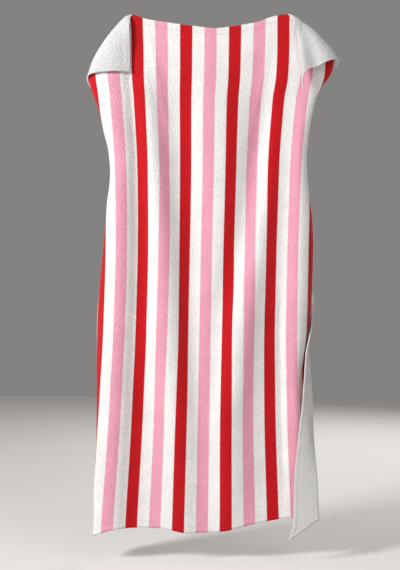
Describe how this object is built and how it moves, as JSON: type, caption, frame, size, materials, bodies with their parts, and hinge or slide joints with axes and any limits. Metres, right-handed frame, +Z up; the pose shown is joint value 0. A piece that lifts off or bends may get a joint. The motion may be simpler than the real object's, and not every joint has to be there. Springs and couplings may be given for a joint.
{
  "type": "beach towel",
  "caption": "Large terry beach towel with lengthwise stripes, hanging from its top edge in soft folds, its top corners flopped forward.",
  "frame": {"origin": "the middle of the top edge, on the line that the cloth hangs from", "axes": "+Z up along the hanging length, +X across the width to the viewer's right, +Y away from the viewer through the cloth; the striped front faces -Y"},
  "size_m": [0.8855, 0.2084, 1.8397],
  "materials": {
    "terry": "soft looped terry cotton, matt"
  },
  "bodies": {
    "root": {"towel": "terry"}
  },
  "joints": []
}
